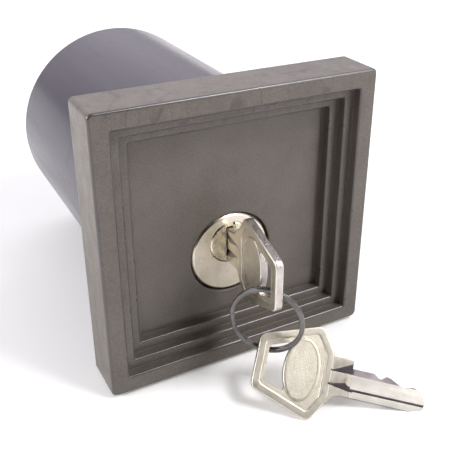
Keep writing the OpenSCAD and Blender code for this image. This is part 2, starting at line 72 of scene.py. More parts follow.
class Net:
    """A procedural material built around one Principled shader. Lengths are in millimetres."""

    def __init__(self, name, drawn=False, **fixed):
        self.material = bpy.data.materials.new(name)
        self.material.use_nodes = True
        self.tree = self.material.node_tree
        self.shader = self.tree.nodes["Principled BSDF"]
        for socket, value in fixed.items():
            self.shader.inputs[socket.replace("_", " ")].default_value = value
        if drawn:
            self.place = self.node("Attribute", attribute_name="drawn").outputs["Vector"]
        else:
            self.place = self.node("TexCoord").outputs["Object"]

    def node(self, kind, **settings):
        made = self.tree.nodes.new("ShaderNode" + kind)
        for name, value in settings.items():
            setattr(made, name, value)
        return made

    def feed(self, socket, value):
        if isinstance(value, bpy.types.NodeSocket):
            self.tree.links.new(value, socket)
        else:
            socket.default_value = value

    def stretched(self, stretch, centre=(0, 0, 0)):
        mapping = self.node("Mapping")
        self.feed(mapping.inputs["Vector"], self.place)
        mapping.inputs["Location"].default_value = [-c * MM * s for c, s in zip(centre, stretch)]
        mapping.inputs["Scale"].default_value = stretch
        return mapping.outputs[0]

    def noise(self, size, detail=3.0, stretch=None, distortion=0.0):
        made = self.node("TexNoise")
        self.feed(made.inputs["Vector"], self.stretched(stretch) if stretch else self.place)
        made.inputs["Scale"].default_value = 1 / (size * MM)
        made.inputs["Detail"].default_value = detail
        made.inputs["Distortion"].default_value = distortion
        return made.outputs[0]

    def cells(self, size, output="Distance"):
        made = self.node("TexVoronoi")
        self.feed(made.inputs["Vector"], self.place)
        made.inputs["Scale"].default_value = 1 / (size * MM)
        return made.outputs[output]

    def rings(self, centre, size):
        """Turning marks: noise that changes only with the distance from a line along Y."""
        spread = self.node("SeparateXYZ")
        self.feed(spread.inputs[0], self.stretched((1, 1, 1), centre))
        flat = self.node("CombineXYZ")
        self.feed(flat.inputs[0], spread.outputs[0])
        self.feed(flat.inputs[1], spread.outputs[2])
        length = self.node("VectorMath", operation="LENGTH")
        self.feed(length.inputs[0], flat.outputs[0])
        made = self.node("TexNoise", noise_dimensions="1D")
        self.feed(made.inputs["W"], length.outputs["Value"])
        made.inputs["Scale"].default_value = 1 / (size * MM)
        made.inputs["Detail"].default_value = 2
        return made.outputs[0]

    def remap(self, value, low, high, to_low, to_high):
        made = self.node("MapRange")
        self.feed(made.inputs[0], value)
        for i, x in enumerate((low, high, to_low, to_high)):
            made.inputs[i + 1].default_value = x
        return made.outputs[0]

    def times(self, a, b):
        made = self.node("Math", operation="MULTIPLY")
        self.feed(made.inputs[0], a)
        self.feed(made.inputs[1], b)
        return made.outputs[0]

    def height(self):
        """The Z coordinate of the place."""
        made = self.node("SeparateXYZ")
        self.feed(made.inputs[0], self.place)
        return made.outputs[2]

    def mix(self, share, a, b):
        made = self.node("Mix", data_type="RGBA")
        self.feed(made.inputs[0], share)
        for socket, value in ((made.inputs[6], a), (made.inputs[7], b)):
            self.feed(socket, (*value, 1) if isinstance(value, tuple) else value)
        return made.outputs[2]

    def bump(self, height, depth, strength=1.0, under=None):
        made = self.node("Bump")
        made.inputs["Strength"].default_value = strength
        made.inputs["Distance"].default_value = depth * MM
        self.feed(made.inputs["Height"], height)
        if under is not None:
            self.feed(made.inputs["Normal"], under)
        return made.outputs[0]

    def finish(self, colour, roughness, normal):
        self.feed(self.shader.inputs["Base Color"], colour)
        self.feed(self.shader.inputs["Roughness"], roughness)
        self.feed(self.shader.inputs["Normal"], normal)
        return self.material


def moulded_plastic(
    name, dark, light, rough, grain, depth,
    flow=None, smear=0.28, speckle=0.3, shine=0.5, worn=None,
):
    """Moulded plastic: cloudy colour, eroded grain that catches the light, smears of handling.

    rough is the range of the roughness, grain and depth are the size of the surface's grain, and
    flow stretches the pattern the way the plastic ran into the mould. worn gives the heights
    between which the smears grow from faint to full.
    """
    net = Net(name, Specular_IOR_Level=shine)
    cloud = net.noise(14, 4, flow, 0.4)
    colour = net.mix(net.remap(cloud, 0.32, 0.68, 0, 1), dark, light)
    speck = net.noise(0.38, 3)
    bright, dim = tuple(1.9 * x for x in light), tuple(0.55 * x for x in dark)
    colour = net.mix(net.remap(speck, 0.5, 0.72, 0, speckle), colour, bright)
    colour = net.mix(net.remap(speck, 0.5, 0.3, 0, speckle), colour, dim)
    smeared = net.remap(net.noise(9, 5, (1, 1, 0.45), 2.4), 0.58, 0.66, 0, smear)
    if worn:
        low, high = worn[0] * MM, worn[1] * MM
        smeared = net.times(smeared, net.remap(net.height(), low, high, 0.12, 1))
    colour = net.mix(smeared, colour, tuple(0.62 * x for x in dark))
    roughness = net.remap(net.noise(5, 4, flow), 0.3, 0.7, *rough)
    fine = net.bump(net.noise(grain, 3), depth)
    normal = net.bump(net.noise(3.5, 3, flow), depth * 1.2, 0.6, fine)
    return net.finish(colour, roughness, normal)


def metal(
    name, dark, light, rough, size, depth,
    stretch=None, stain=None, centre=None, drawn=False,
):
    """Plated or bare metal: worn tone, brushed, cast or turned surface.

    size and depth are those of its marks, which run round centre if it is given. drawn ties the
    pattern to the mesh as it was drawn, before it was turned into place.
    """
    net = Net(name, drawn, Metallic=1.0)
    colour = net.mix(net.remap(net.noise(4.5, 5, None, 0.6), 0.3, 0.7, 0, 1), dark, light)
    if stain:
        stained = net.remap(net.noise(2.2, 6, None, 1.5), 0.58, 0.78, 0, 0.4)
        colour = net.mix(stained, colour, stain)
    marks = net.rings(centre, size) if centre else net.noise(size, 4, stretch)
    roughness = net.remap(net.noise(1.6, 4, stretch), 0.3, 0.7, *rough)
    normal = net.bump(net.noise(0.9, 5), depth * 0.7, 0.5, net.bump(marks, depth))
    return net.finish(colour, roughness, normal)


def rubber(name):
    net = Net(name, Specular_IOR_Level=0.35)
    bloom = net.remap(net.noise(6, 5, None, 0.8), 0.45, 0.7, 0, 0.6)
    colour = net.mix(bloom, (0.016, 0.016, 0.017), (0.05, 0.05, 0.048))
    roughness = net.remap(net.noise(2, 3), 0.3, 0.7, 0.55, 0.8)
    return net.finish(colour, roughness, net.bump(net.noise(0.5, 4), 0.05))


def wax(name):
    """Bait wax with crushed grain set in it."""
    net = Net(name, Subsurface_Weight=0.12, Subsurface_Scale=0.002)
    cloud = net.remap(net.noise(7, 4), 0.3, 0.7, 0, 1)
    body = net.mix(cloud, (0.03, 0.16, 0.12), (0.07, 0.27, 0.2))
    grain = net.remap(net.cells(1.5), 0.14, 0.24, 1, 0)
    chosen = net.node("SeparateColor")
    net.feed(chosen.inputs[0], net.cells(1.5, "Color"))
    husks = net.times(grain, net.remap(chosen.outputs[0], 0.5, 0.56, 0, 1))
    husk = net.mix(chosen.outputs[1], (0.5, 0.36, 0.16), (0.3, 0.17, 0.07))
    colour = net.mix(husks, body, husk)
    roughness = net.remap(net.noise(3, 4), 0.3, 0.7, 0.38, 0.62)
    lumps = net.bump(net.noise(2.2, 5), 0.25, 0.8, net.bump(husks, 0.12))
    return net.finish(colour, roughness, lumps)


# -------------------- outlines


def circle(radius, x=0.0, z=0.0, count=SMALL_ROUND):
    angles = [math.tau * i / count for i in range(count)]
    return [Vector((x + radius * math.cos(a), z + radius * math.sin(a))) for a in angles]


def oval(x, semi_x, semi_y, count=72):
    return [Vector((x + p.x * semi_x, p.y * semi_y)) for p in circle(1, count=count)]


def softened(points, radius, steps=5):
    """An outline or profile with rounded corners. radius is one number, or one for each corner."""
    points = [Vector(p) for p in points]
    count = len(points)
    radii = radius if isinstance(radius, (list, tuple)) else [radius] * count
    made = []
    for i, p in enumerate(points):
        u = (points[i - 1] - p).normalized()
        v = (points[(i + 1) % count] - p).normalized()
        half = math.acos(max(-1.0, min(1.0, u.dot(v)))) / 2
        if radii[i] <= 0 or half > NEARLY_STRAIGHT:
            made.append(p)
            continue
        centre = p + (u + v).normalized() * radii[i] / math.sin(half)
        start = p + u * radii[i] / math.tan(half) - centre
        end = p + v * radii[i] / math.tan(half) - centre
        sweep = math.pi - 2 * half
        for k in range(steps + 1):
            t = k / steps
            turned = start * math.sin((1 - t) * sweep) + end * math.sin(t * sweep)
            made.append(centre + turned / math.sin(sweep))
    return made


def moved_in(loop, distance):
    """The loop moved towards the material, which is on its left: inwards for an outer loop."""
    made = []
    for i, p in enumerate(loop):
        a = (p - loop[i - 1]).normalized()
        b = (loop[(i + 1) % len(loop)] - p).normalized()
        left = Vector((-a.y - b.y, a.x + b.x))
        made.append(p + left * distance / max(0.3, 1 + a.dot(b)))
    return made


def rectangle(x0, y0, x1, y1):
    return [Vector(p) for p in ((x0, y0), (x1, y0), (x1, y1), (x0, y1))]


# -------------------- meshes

# Turns a flat shape drawn as (x, z) to stand across the Y axis
UPRIGHT = Matrix(((1, 0, 0, 0), (0, 0, -1, 0), (0, 1, 0, 0), (0, 0, 0, 1)))


def link(name, data):
    """A new object for data, in the scene."""
    obj = bpy.data.objects.new(name, data)
    bpy.context.scene.collection.objects.link(obj)
    return obj


def as_object(name, bm):
    bmesh.ops.remove_doubles(bm, verts=bm.verts, dist=1e-4)
    bmesh.ops.recalc_face_normals(bm, faces=bm.faces)
    mesh = bpy.data.meshes.new(name)
    bm.to_mesh(mesh)
    bm.free()
    return link(name, mesh)


def skin(bm, rings, closed):
    """Quads between rings of vertices, and from the last back to the first if closed."""
    count = len(rings[0])
    pairs = list(zip(rings, rings[1:])) + ([(rings[-1], rings[0])] if closed else [])
    for a, b in pairs:
        for i in range(count):
            j = (i + 1) % count
            bm.faces.new((a[i], a[j], b[j], b[i]))


def skin_with_ends(bm, rings):
    """Quads between rings of vertices, with a face on each end."""
    skin(bm, rings, False)
    bm.faces.new(rings[0])
    bm.faces.new(rings[-1][::-1])


def loop_edges(bm, ring):
    return [bm.edges.get((ring[i - 1], ring[i])) for i in range(len(ring))]


def turned(name, profile, x=0.0, z=0.0, count=ROUND, closed=True):
    """A solid of revolution about a line along Y, from (radius, y) points."""
    bm = bmesh.new()
    rings = [
        [
            bm.verts.new((x + p[0] * math.cos(a), p[1], z + p[0] * math.sin(a)))
            for a in (math.tau * i / count for i in range(count))
        ]
        for p in profile
    ]
    skin(bm, rings, closed)
    bmesh.ops.remove_doubles(bm, verts=bm.verts, dist=1e-4)
    bmesh.ops.dissolve_degenerate(bm, edges=bm.edges, dist=1e-5)
    return as_object(name, bm)


def slab(name, loops, thickness, bevel=0.0, middle=0.0, steps=3, matrix=None):
    """A flat piece from an outer loop and its holes, with rounded edges, about height middle."""
    bm = bmesh.new()
    oriented = []
    for n, loop in enumerate(loops):
        area = sum(p.cross(loop[(i + 1) % len(loop)]) for i, p in enumerate(loop))
        oriented.append(loop if (area > 0) == (n == 0) else loop[::-1])
    half = thickness / 2
    if bevel:
        arc = [math.pi / 2 * k / steps for k in range(steps + 1)]
        top = [(bevel * (1 - math.cos(t)), half - bevel + bevel * math.sin(t)) for t in arc]
    else:
        top = [(0.0, half)]
    levels = [(d, -h) for d, h in reversed(top)] + top
    edges = {0: [], 1: []}
    for loop in oriented:
        rings = [
            [bm.verts.new((p.x, p.y, middle + h)) for p in (moved_in(loop, d) if d else loop)]
            for d, h in levels
        ]
        skin(bm, rings, False)
        for side, ring in ((0, rings[0]), (1, rings[-1])):
            edges[side] += loop_edges(bm, ring)
    for side in (0, 1):
        bmesh.ops.triangle_fill(bm, use_beauty=True, use_dissolve=False, edges=edges[side])
    if matrix is not None:
        bmesh.ops.transform(bm, matrix=matrix, verts=bm.verts)
    return as_object(name, bm)


def across(name, loops, y0, y1, bevel=0.0, steps=3):
    """A slab drawn as (x, z) that stands across Y between two planes."""
    place = Matrix.Translation((0, (y0 + y1) / 2, 0)) @ UPRIGHT
    return slab(name, loops, y1 - y0, bevel, 0.0, steps, place)


def peg(name, radius, y0, y1, x=0.0, z=0.0, count=SMALL_ROUND, edge=0.0):
    """A round bar along Y, whose rear edge may be rounded."""
    corners = [(0, y0), (radius, y0), (radius, y1), (0, y1)]
    return turned(name, softened(corners, [0, 0, edge, 0]) if edge else corners, x, z, count)


def washer(name, inner, outer, y0, y1, edges, z=0.0, count=ROUND, steps=3):
    """A round band about a line along Y. edges are the radii of its edges."""
    corners = [(inner, y0), (outer, y0), (outer, y1), (inner, y1)]
    return turned(name, softened(corners, edges, steps), 0, z, count)


def combine(base, other, operation="DIFFERENCE"):
    """Unites, cuts or intersects base with other, which is used up."""
    others = other if isinstance(other, list) else [other]
    for cutter in others:
        modifier = base.modifiers.new("combine", "BOOLEAN")
        modifier.operation = operation
        modifier.solver = "EXACT"
        modifier.object = cutter
        bpy.context.view_layer.update()
        evaluated = base.evaluated_get(bpy.context.evaluated_depsgraph_get())
        mesh = bpy.data.meshes.new_from_object(evaluated)
        base.modifiers.clear()
        base.data = mesh
        bpy.data.objects.remove(cutter)
    tidy_faces(base.data)
    return base


def tidy_faces(mesh):
    """Splits faces of many corners, which may fold over a hole, drops slivers, closes gaps."""
    bm = bmesh.new()
    bm.from_mesh(mesh)
    bmesh.ops.remove_doubles(bm, verts=bm.verts, dist=3e-3)
    bmesh.ops.dissolve_degenerate(bm, edges=bm.edges, dist=1e-4)
    many = [f for f in bm.faces if len(f.verts) > 4]
    bmesh.ops.triangulate(bm, faces=many, quad_method="BEAUTY", ngon_method="BEAUTY")
    open_edges = [e for e in bm.edges if e.is_boundary]
    if open_edges:
        bmesh.ops.holes_fill(bm, edges=open_edges, sides=0)
        bmesh.ops.recalc_face_normals(bm, faces=bm.faces)
    bm.to_mesh(mesh)
    bm.free()


def join(first, *others):
    """Puts separate solids into one object."""
    bm = bmesh.new()
    for obj in (first, *others):
        bm.from_mesh(obj.data)
    bm.to_mesh(first.data)
    bm.free()
    for obj in others:
        bpy.data.objects.remove(obj)
    return first


def threaded(
    name, radius, depth, pitch, y0, y1,
    x=0.0, z=0.0, flat=None, count=SMALL_ROUND, fade=None,
):
    """A screw thread with closed ends, which runs out over a length of fade.
    flat cuts two flats at that distance from the axis."""
    bm = bmesh.new()
    per_turn = 6
    steps = max(2, round((y1 - y0) / pitch * per_turn))
    fade = fade or pitch
    rings = []
    for k in range(steps + 1):
        y = y0 + (y1 - y0) * k / steps
        lead = min(1.0, (y - y0) / fade, (y1 - y) / fade)
        ring = []
        for i in range(count):
            a = math.tau * i / count
            wave = 0.5 + 0.5 * math.cos(math.tau * (y / pitch) - a)
            r = radius - depth * (wave * lead + (1 - lead))
            px = r * math.cos(a)
            if flat:
                px = max(-flat, min(flat, px))
            ring.append(bm.verts.new((x + px, y, z + r * math.sin(a))))
        rings.append(ring)
    skin_with_ends(bm, rings)
    return as_object(name, bm)


def coil(name, radius, wire, z0, z1, turns, x=0.0, y=0.0, sides=10, per_turn=32):
    """A compression spring along Z."""
    bm = bmesh.new()
    steps = round(turns * per_turn)
    low, high = z0 + wire, z1 - wire
    rings = []
    for k in range(steps + 1):
        t = k / steps
        a = math.tau * turns * k / steps
        out = Vector((math.cos(a), math.sin(a), 0))
        rise = t + 0.035 * math.sin(math.tau * t)
        height = low + (high - low) * rise
        centre = Vector((x + radius * math.cos(a), y + radius * math.sin(a), height))
        ring = []
        for b in (math.tau * i / sides for i in range(sides)):
            up = Vector((0, 0, wire * math.sin(b)))
            ring.append(bm.verts.new(centre + out * wire * math.cos(b) + up))
        rings.append(ring)
    skin_with_ends(bm, rings)
    return as_object(name, bm)


def dress(obj, *materials, smooth=35.0, weighted=True):
    """Gives obj its materials and smooth shading that stays crisp at sharp edges."""
    for material in materials:
        obj.data.materials.append(material)
    obj.data.shade_smooth()
    obj.data.set_sharp_from_angle(angle=math.radians(smooth))
    if weighted:
        modifier = obj.modifiers.new("even_normals", "WEIGHTED_NORMAL")
        modifier.keep_sharp = True
        modifier.weight = 90
    return obj


def install(obj, node, slot, *materials, scaled=True, **shading):
    """Shows obj in place of a CAD node, on the same body, in metres."""
    if scaled:
        obj.data.transform(Matrix.Scale(MM, 4))
    dress(obj, *materials, **shading)
    body = frame["nodes"][node]["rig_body"]
    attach(obj, body)
    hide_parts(node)
    return obj


def middle(node):
    low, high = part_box(node)
    return (low + high) / 2 / MM


def span(node, axis):
    low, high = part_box(node)
    return low[axis] / MM, high[axis] / MM


# -------------------- finishes

PLUG_Z = middle("lock_plug").z
HEAD_Z = middle("lock_washer").z
ROD_Z = middle("bait_rod").z

cover_plastic = moulded_plastic(
    "cover_plastic", (0.125, 0.109, 0.095), (0.15, 0.132, 0.116), (0.34, 0.46), 0.36, 0.05,
    smear=0.6, worn=(31, 38),
)
# glossier copy of the cover plastic for its front edges: the gloss is real, the darker colour is
# painted shade
cover_edge_gloss_and_shade = moulded_plastic(
    "cover_edge_gloss_and_shade", (0.064, 0.056, 0.05), (0.078, 0.069, 0.062), (0.26, 0.36), 0.5, 0.012,
    smear=0, speckle=0.12, shine=1.0,
)
tube_plastic = moulded_plastic(
    "tube_plastic", (0.07, 0.063, 0.078), (0.086, 0.078, 0.095), (0.17, 0.24), 0.9, 0.003,
    flow=(1, 0.1, 1), smear=0.2, speckle=0.06, shine=0.25,
)
keeper_plastic = moulded_plastic(
    "keeper_plastic", (0.08, 0.075, 0.09), (0.11, 0.103, 0.12), (0.35, 0.5), 0.6, 0.02,
    speckle=0.15,
)
seal_rubber = rubber("seal_rubber")
bait_wax = wax("bait_wax")
head_nickel = metal(
    "head_nickel", (0.66, 0.61, 0.52), (0.75, 0.7, 0.61), (0.27, 0.34), 0.09, 0.003,
    centre=(0, 0, HEAD_Z),
)
plug_nickel = metal(
    "plug_nickel", (0.58, 0.52, 0.4), (0.7, 0.65, 0.53), (0.24, 0.32), 0.09, 0.003,
    stain=(0.34, 0.28, 0.18), centre=(0, 0, PLUG_Z),
)
zinc_steel = metal(
    "zinc_steel", (0.46, 0.47, 0.49), (0.66, 0.67, 0.68), (0.24, 0.4), 0.5, 0.01,
    stain=(0.5, 0.47, 0.36),
)
ZINC = ("zinc_steel", zinc_steel)  # slot and material of the plated steel pieces
spring_steel = metal(
    "spring_steel", (0.3, 0.3, 0.31), (0.5, 0.5, 0.52), (0.25, 0.4), 0.3, 0.006
)
ring_steel = metal(
    "ring_steel", (0.13, 0.128, 0.122), (0.22, 0.215, 0.21), (0.26, 0.38), 0.35, 0.006,
    drawn=True,
)
pin_brass = metal("pin_brass", (0.6, 0.4, 0.13), (0.83, 0.6, 0.24), (0.22, 0.36), 0.2, 0.004)
key_polished = metal(
    "key_polished", (0.68, 0.63, 0.54), (0.79, 0.74, 0.65), (0.38, 0.48), 0.8, 0.006,
    stain=(0.56, 0.5, 0.41), drawn=True,
)
key_cast = metal(
    "key_cast", (0.68, 0.63, 0.53), (0.8, 0.75, 0.65), (0.42, 0.54), 0.3, 0.07,
    stain=(0.54, 0.48, 0.38), drawn=True,
)
key_milled = metal(
    "key_milled", (0.8, 0.76, 0.69), (0.9, 0.87, 0.81), (0.36, 0.46), 0.14, 0.006,
    stretch=(0.06, 1, 1), stain=(0.64, 0.59, 0.5), drawn=True,
)
# copy of the key metal for the side faces: the stippled grain is real, the darker mauve tone is
# painted shade
key_edge_stipple_and_shade = metal(
    "key_edge_stipple_and_shade", (0.46, 0.42, 0.42), (0.64, 0.6, 0.57), (0.22, 0.38), 0.28, 0.12,
    stain=(0.26, 0.24, 0.23), drawn=True,
)
# darker mauve copy of the key metal for slanting cuts and grooves: painted shade
key_cut_shade = metal(
    "key_cut_shade", (0.27, 0.24, 0.25), (0.4, 0.36, 0.37), (0.3, 0.42), 0.16, 0.02,
    stretch=(0.1, 1, 1), drawn=True,
)

# -------------------- tube

TUBE_FRONT, TUBE_END = span("tube", 1)
TUBE_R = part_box("tube")[1].x / MM
TUBE_WALL = 2.5
BORE_R = TUBE_R - TUBE_WALL
tube = washer(
    "feeding_tube", BORE_R, TUBE_R, TUBE_FRONT, TUBE_END, [0.7, 0.5, 0.8, 0.7], count=192, steps=5
)
install(tube, "tube", "tube_plastic", tube_plastic)

KEEPER_FRONT, KEEPER_BACK = span("keeper_ring", 1)
KEEPER_R = BORE_R - 4
KEEPER_OUT = BORE_R - 0.02
KEEPER_LEAD = 1.5  # the chamfer of its inner edge at the front
keeper_profile = [
    (KEEPER_R + KEEPER_LEAD, KEEPER_FRONT), (KEEPER_OUT, KEEPER_FRONT),
    (KEEPER_OUT, KEEPER_BACK), (KEEPER_R, KEEPER_BACK), (KEEPER_R, KEEPER_FRONT + KEEPER_LEAD),
]
keeper = turned("keeper_band", softened(keeper_profile, [0.3, 0.1, 0.1, 0.35, 0.3]))
install(keeper, "keeper_ring", "tube_plastic", keeper_plastic)

# -------------------- cover

RIM_Y, SPIGOT_END = span("front_cover", 1)
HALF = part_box("front_cover")[1].x / MM
GASKET_FRONT, GASKET_BACK = span("cover_gasket", 1)
HEAD_FRONT, SHELL_END = span("lock_shell", 1)
BOSS_BACK = span("lock_washer", 1)[0]
PLATE_Y, PLATE_BACK = span("backing_plate", 1)
WALL = 2.6  # the cover's thickness
STEP = 3.1  # height of a ledge
LEDGE = 3.25  # width of a ledge
RIM_HALF = HALF - 5.7
CORNER = 1.6
CORE = 20.0  # half of the square that closes the panel
PANEL_Y = RIM_Y + 3 * STEP
PANEL_BACK = PANEL_Y + WALL
HEAD_R = 13.5
HEAD_BACK = HEAD_FRONT + 2.2
HEAD_GAP = 0.4  # round the lock's head, in its seat
BARREL_R = 12.0
BARREL_FLAT = 10.5  # from the barrel's axis to its flats
BARREL_GAP = 0.1
SPIGOT_R = BORE_R - 0.3
SEAT_R = TUBE_R + 2.6
RIB_X = 30.0
RIB_HALF = 0.9
PLATE_SCREW_R = 27.5
PLATE_SCREW_ANGLES = (40, 140, 220, 320)


def square_ring(bm, half, radius, y):
    """One rounded square loop of vertices across Y."""
    corners = rectangle(-half, -half, half, half)
    return [bm.verts.new((p.x, y, p.y)) for p in softened(corners, radius, 6)]


def build_cover():
    """The moulded square without its ribs, seat, spigot and bosses."""
    bm = bmesh.new()
    ledges = [RIM_HALF - i * LEDGE for i in range(3)]
    # half width, place along Y, radius of the edge, radius of the corners
    rows = [
        (HALF, 0.0, 0.35, CORNER),
        (HALF, RIM_Y, 0.8, CORNER),
        (ledges[0], RIM_Y, 0.7, 0.7),
        (ledges[0], RIM_Y + STEP, 0.2, 0.6),
        (ledges[1], RIM_Y + STEP, 0.65, 0.7),
        (ledges[1], RIM_Y + 2 * STEP, 0.2, 0.6),
        (ledges[2], RIM_Y + 2 * STEP, 0.65, 0.7),
        (ledges[2], PANEL_Y, 0.2, 0.6),
        (CORE, PANEL_Y, 0.0, 0.6),
        (CORE, PANEL_BACK, 0.0, 0.6),
        (ledges[2] + WALL, PANEL_BACK, 0.5, 0.8),
        (ledges[2] + WALL, PANEL_BACK - STEP, 0.5, 0.8),
        (ledges[1] + WALL, PANEL_BACK - STEP, 0.5, 0.8),
        (ledges[1] + WALL, PANEL_BACK - 2 * STEP, 0.5, 0.8),
        (HALF - WALL, PANEL_BACK - 2 * STEP, 0.6, 0.8),
        (HALF - WALL, 0.0, 0.3, 0.8),
    ]
    profile = softened([(r[0], r[1]) for r in rows], [r[2] for r in rows], 4)
    rings = []
    for p in profile:
        nearest = min(rows, key=lambda r: (Vector((r[0], r[1])) - p).length)
        rings.append(square_ring(bm, p.x, nearest[3], p.y))
    first, last = (i for i, p in enumerate(profile) if abs(p.x - CORE) < 1e-6)
    skin(bm, rings[: first + 1], False)
    skin(bm, rings[last:] + rings[:1], False)
    bm.faces.new(rings[first])
    bm.faces.new(rings[last][::-1])
    return as_object("station_cover", bm)


def build_ribs():
    """Stiffening ribs behind the cover, kept clear of the tube and of the ledges."""
    long = (-HALF + 1.5, HALF - 1.5)
    ribs = []
    for side in (-1, 1):
        short = (side * RIB_X - RIB_HALF, side * RIB_X + RIB_HALF)
        for xs, zs in ((long, short), (short, long)):
            loop = rectangle(xs[0], zs[0], xs[1], zs[1])
            ribs.append(across("rib", [loop], RIM_Y + STEP + 1.2, -0.25, 0.25, 2))
    clear = [peg("rib_clear", SEAT_R - 1, RIM_Y - 1, 2, count=ROUND)]
    for i in range(3):
        half = RIM_HALF - i * LEDGE + WALL / 2
        loop = rectangle(-half, -half, half, half)
        end = RIM_Y + (i + 1) * STEP + WALL / 2
        clear.append(across("step_clear", [loop], RIM_Y - 2 + i, end))
    combine(ribs[0], ribs[1:], "UNION")
    return combine(ribs[0], clear)


def build_spigot():
    """The collar that goes into the tube, with the groove of its round seal."""
    inner, groove = SPIGOT_R - WALL, SPIGOT_R - 1.5
    profile = [
        (inner, PANEL_BACK - 1.1), (SPIGOT_R, PANEL_BACK - 1.1), (SPIGOT_R, 7.0),
        (groove, 7.0), (groove, 9.4), (SPIGOT_R, 9.4), (SPIGOT_R, SPIGOT_END), (inner, SPIGOT_END),
    ]
    return turned("spigot", softened(profile, [0, 0, 0.2, 0.2, 0.2, 0.2, 0.7, 0.4]), count=160)


def head_seat():
    """Cutter for the round seat of the lock's head, with a flared mouth."""
    inner, flare = HEAD_R + HEAD_GAP, 0.45
    profile = [(0, PANEL_Y - 2), (inner + flare, PANEL_Y - 2), (inner + flare, PANEL_Y - 0.001)]
    for t in (math.pi / 2 * k / 4 for k in range(1, 5)):
        profile.append((inner + flare * (1 - math.sin(t)), PANEL_Y + flare * (1 - math.cos(t))))
    return turned("head_seat", profile + [(inner, HEAD_BACK), (0, HEAD_BACK)], 0, HEAD_Z, ROUND)


def barrel_seat():
    """Cutter for the hole with two flats that holds the lock's barrel."""
    flat = BARREL_FLAT + BARREL_GAP
    loop = [
        Vector((max(-flat, min(flat, p.x)), p.y + HEAD_Z))
        for p in circle(BARREL_R + BARREL_GAP, 0, 0, 96)
    ]
    return across("barrel_seat", [loop], HEAD_BACK - 1, BOSS_BACK + 1)


screw_places = [
    (PLATE_SCREW_R * math.cos(a), PLATE_SCREW_R * math.sin(a))
    for a in map(math.radians, PLATE_SCREW_ANGLES)
]
cover = build_cover()
combine(cover, build_ribs(), "UNION")
additions = [
    washer(
        "seat", SPIGOT_R - 1, SEAT_R, PANEL_BACK - 1.2, GASKET_FRONT, [0, 0, 0.5, 0], steps=5
    ),
    build_spigot(),
    peg("lock_boss", 16.5, PANEL_BACK - 0.9, BOSS_BACK, 0, HEAD_Z, 96, edge=0.5),
]
cuts = [head_seat(), barrel_seat()]
for x, z in screw_places:
    additions.append(peg("plate_boss", 3.2, PANEL_BACK - 0.8, PLATE_Y, x, z, edge=0.3))
    cuts.append(peg("screw_seat", 1.47, PANEL_BACK + 1.5, PLATE_Y + 1, x, z, 32))
combine(cover, additions, "UNION")
combine(cover, cuts)
# the edges that stand out on the front are handled smooth and glossy, and their darker colour is
# painted shade; its faces keep the mould's grain
for material in (cover_plastic, cover_edge_gloss_and_shade):
    cover.data.materials.append(material)
for face in cover.data.polygons:
    rounded = max(abs(c) for c in face.normal) < 0.985
    standing_out = (face.center.y - RIM_Y) % STEP < 0.85 and face.center.y < PANEL_Y - 1
    face.material_index = 1 if rounded and standing_out else 0
install(cover, "front_cover", "cover_plastic")

seal = washer(
    "flat_seal", SPIGOT_R + 0.02, TUBE_R - 0.4, GASKET_FRONT, GASKET_BACK,
    [0.2, 0.45, 0.45, 0.2], steps=5,
)
install(seal, "cover_gasket", "seal_rubber", seal_rubber)
SEAL_R = 0.8
SEAL_Y = middle("spigot_o_ring").y
SEAL_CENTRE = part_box("spigot_o_ring")[1].x / MM - SEAL_R
seal = turned(
    "round_seal",
    [(SEAL_CENTRE + p.x, SEAL_Y + p.y) for p in circle(SEAL_R, count=20)],
    count=160,
)
install(seal, "spigot_o_ring", "seal_rubber", seal_rubber)

plate_loops = [
    circle(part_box("backing_plate")[1].x / MM, count=ROUND),
    circle(BARREL_R + 0.6, 0, HEAD_Z, 96),
    circle(2.1, 0, ROD_Z, 32),
    *(circle(1.65, x, z, 32) for x, z in screw_places),
]
plate = across("rear_plate", plate_loops, PLATE_Y, PLATE_BACK, 0.25)
install(plate, "backing_plate", *ZINC)


def cross_recess(x, z, y, size, width):
    """Cutter for a cross recess, entered from +Y."""
    tools = [
        across("cross", [rectangle(x - a, z - b, x + a, z + b)], y, y + 4)
        for a, b in ((size, width), (width, size))
    ]
    return combine(tools[0], tools[1], "UNION")


def pan_screw(name, x, z, shaft, head, head_y, height, start_y, top, recess):
    """A screw with its head at the +Y end. recess is its half length, half width and depth."""
    end = head_y + height
    body = threaded(name, shaft, shaft * 0.16, 0.7, start_y, head_y + 0.2, x, z, None, 32)
    profile = [(0, head_y), (head, head_y), (head, head_y + height * 0.5), (top, end), (0, end)]
    cap = turned("cap", softened(profile, [0, 0.15, 0.35, 0.4, 0]), x, z, SMALL_ROUND)
    combine(body, cap, "UNION")
    half, width, depth = recess
    return combine(body, cross_recess(x, z, end - depth, half, width))


screws = [
    pan_screw(
        "plate_screw", x, z, 1.45, 2.8, PLATE_BACK, 1.8, PANEL_BACK + 2, 2.0, (1.5, 0.3, 1.0)
    )
    for x, z in screw_places
]
install(join(*screws), "plate_screws", *ZINC)

# -------------------- lock

PLUG_FACE_R = 7.0
FACE_THICK = 1.1  # of the plug's wider face
CHAMBER_R = 1.4
PIN_Y = [2.5 + 3.2 * i for i in range(5)]
STOP_ANGLES = [math.radians(18 - 126 * i / 18) for i in range(19)]

